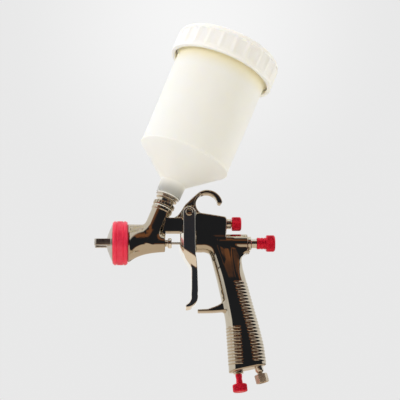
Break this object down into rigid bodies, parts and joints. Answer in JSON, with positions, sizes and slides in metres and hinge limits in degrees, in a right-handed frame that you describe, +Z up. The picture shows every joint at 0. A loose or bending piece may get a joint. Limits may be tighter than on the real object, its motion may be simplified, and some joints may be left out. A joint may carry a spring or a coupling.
{
  "type": "gravity-feed spray gun",
  "caption": "Gravity-feed HVLP spray gun: trigger draws a needle and opens an air valve, knobs set fluid, fan and air, a slanted plastic cup with screw lid feeds paint",
  "frame": {"origin": "centre of the mouth of the swivel nut of the air inlet, at the foot of the handle", "axes": "-X is where the nozzle points, +Z is up, Y is across the gun, which is symmetric about y = 0"},
  "size_m": [0.1637, 0.097, 0.3308],
  "materials": {
    "black_chrome": "polished dark chrome plating",
    "nickel": "bright nickel plating",
    "red_anodised": "red anodised",
    "steel": "ground stainless steel",
    "brass": "turned brass",
    "packing": "white fluoropolymer",
    "black_rubber": "black nitrile rubber",
    "cup_plastic": "milky translucent polypropylene",
    "lid_plastic": "milky white polypropylene"
  },
  "bodies": {
    "gun": {"gun_body": "black_chrome", "air_baffle": "nickel", "fluid_nozzle": "nickel", "needle_packing": "packing", "packing_nut": "nickel", "needle_spring": "steel", "trigger_pin": "nickel", "trigger_pin_screw": "nickel", "valve_bush": "nickel", "valve_packing": "packing", "valve_seat": "brass", "valve_spring": "steel", "fluid_guide": "nickel", "fan_bush": "nickel", "fan_packing": "packing", "air_bush": "nickel", "air_packing": "packing", "inlet_nipple": "nickel", "inlet_washer": "packing"},
    "trigger": {"trigger": "black_chrome"},
    "needle": {"fluid_needle": "steel", "needle_collar": "brass"},
    "air_valve": {"valve_stem": "steel", "poppet_seal": "black_rubber"},
    "fluid_screw": {"fluid_spindle": "brass"},
    "fluid_knob": {"fluid_knob": "red_anodised"},
    "fan_screw": {"fan_spindle": "brass"},
    "fan_knob": {"fan_knob": "red_anodised"},
    "air_screw": {"air_spindle": "brass"},
    "air_knob": {"air_knob": "red_anodised"},
    "cap_carrier": {"cap_seal": "packing"},
    "ring": {"retaining_ring": "red_anodised"},
    "cap": {"air_cap": "nickel"},
    "inlet_nut": {"inlet_nut": "nickel"},
    "cup_carrier": {"inlet_gasket": "packing"},
    "cup": {"cup_connector": "black_chrome", "inlet_lock_nut": "black_chrome", "cup_gasket": "packing", "cup_strainer": "cup_plastic", "cup": "cup_plastic"},
    "lid_carrier": {"lid_seal": "packing"},
    "lid": {"lid": "lid_plastic"},
    "vent": {"vent_plug": "lid_plastic"}
  },
  "joints": [
    {"name": "trigger_pull", "type": "hinge", "parent": "gun", "child": "trigger", "pos_m": [-0.06247, 0, 0.14771], "axis": [0, -1, 0], "range_deg": [0, 14], "stiffness_Nm_per_rad": 1.9, "springref_deg": -9.05},
    {"name": "valve_lift", "type": "slide", "parent": "gun", "child": "air_valve", "axis": [1, 0, 0], "range_m": [0, 0.0063], "deforming": ["valve_spring"]},
    {"name": "needle_draw", "type": "slide", "parent": "gun", "child": "needle", "axis": [1, 0, 0], "range_m": [0, 0.0048], "deforming": ["needle_spring"]},
    {"name": "fluid_travel", "type": "slide", "parent": "gun", "child": "fluid_screw", "axis": [1, 0, 0], "range_m": [-0.003, 0.002]},
    {"name": "fluid_turn", "type": "hinge", "parent": "fluid_screw", "child": "fluid_knob", "pos_m": [0.01313, 0, 0.12271], "axis": [1, 0, 0], "range_deg": [-1081, 721]},
    {"name": "fan_travel", "type": "slide", "parent": "gun", "child": "fan_screw", "axis": [1, 0, 0], "range_m": [0, 0.003]},
    {"name": "fan_turn", "type": "hinge", "parent": "fan_screw", "child": "fan_knob", "pos_m": [-0.01627, 0, 0.14031], "axis": [1, 0, 0], "range_deg": [0, 1081]},
    {"name": "air_travel", "type": "slide", "parent": "gun", "child": "air_screw", "axis": [0.0872, 0, -0.9962], "range_m": [0, 0.0025]},
    {"name": "air_turn", "type": "hinge", "parent": "air_screw", "child": "air_knob", "pos_m": [-0.02107, 0, 0.01111], "axis": [0.0872, 0, -0.9962], "range_deg": [0, 901]},
    {"name": "ring_travel", "type": "slide", "parent": "gun", "child": "cap_carrier", "axis": [-1, 0, 0], "range_m": [0, 0.009]},
    {"name": "ring_turn", "type": "hinge", "parent": "cap_carrier", "child": "ring", "pos_m": [-0.12247, 0, 0.12271], "axis": [-1, 0, 0], "range_deg": [0, 2161]},
    {"name": "cap_turn", "type": "hinge", "parent": "cap_carrier", "child": "cap", "pos_m": [-0.12847, 0, 0.12271], "axis": [-1, 0, 0], "continuous": true},
    {"name": "nut_spin", "type": "hinge", "parent": "gun", "child": "inlet_nut", "pos_m": [0, 0, 0], "axis": [0.2419, 0, -0.9703], "continuous": true},
    {"name": "cup_travel", "type": "slide", "parent": "gun", "child": "cup_carrier", "axis": [0.3811, 0, 0.9245], "range_m": [0, 0.015]},
    {"name": "cup_turn", "type": "hinge", "parent": "cup_carrier", "child": "cup", "pos_m": [-0.09847, 0, 0.12271], "axis": [0.3811, 0, 0.9245], "range_deg": [0, 3601]},
    {"name": "lid_lift", "type": "slide", "parent": "cup", "child": "lid_carrier", "axis": [0.3811, 0, 0.9245], "range_m": [0, 0.06]},
    {"name": "lid_turn", "type": "hinge", "parent": "lid_carrier", "child": "lid", "pos_m": [-0.09847, 0, 0.12271], "axis": [0.3811, 0, 0.9245], "continuous": true},
    {"name": "vent_pull", "type": "slide", "parent": "lid", "child": "vent", "axis": [0.3811, 0, 0.9245], "range_m": [0, 0.005]}
  ],
  "couplings": [
    {"joint": "valve_lift", "follows": "trigger_pull", "m_per_rad": 0.025578},
    {"joint": "needle_draw", "follows": "trigger_pull", "m_per_rad": 0.01944},
    {"joint": "fluid_turn", "follows": "fluid_travel", "rad_per_m": 6283.2},
    {"joint": "fan_turn", "follows": "fan_travel", "rad_per_m": 6283.2},
    {"joint": "air_turn", "follows": "air_travel", "rad_per_m": 6283.2},
    {"joint": "ring_turn", "follows": "ring_travel", "rad_per_m": 4188.8},
    {"joint": "cup_turn", "follows": "cup_travel", "rad_per_m": 4188.8}
  ]
}
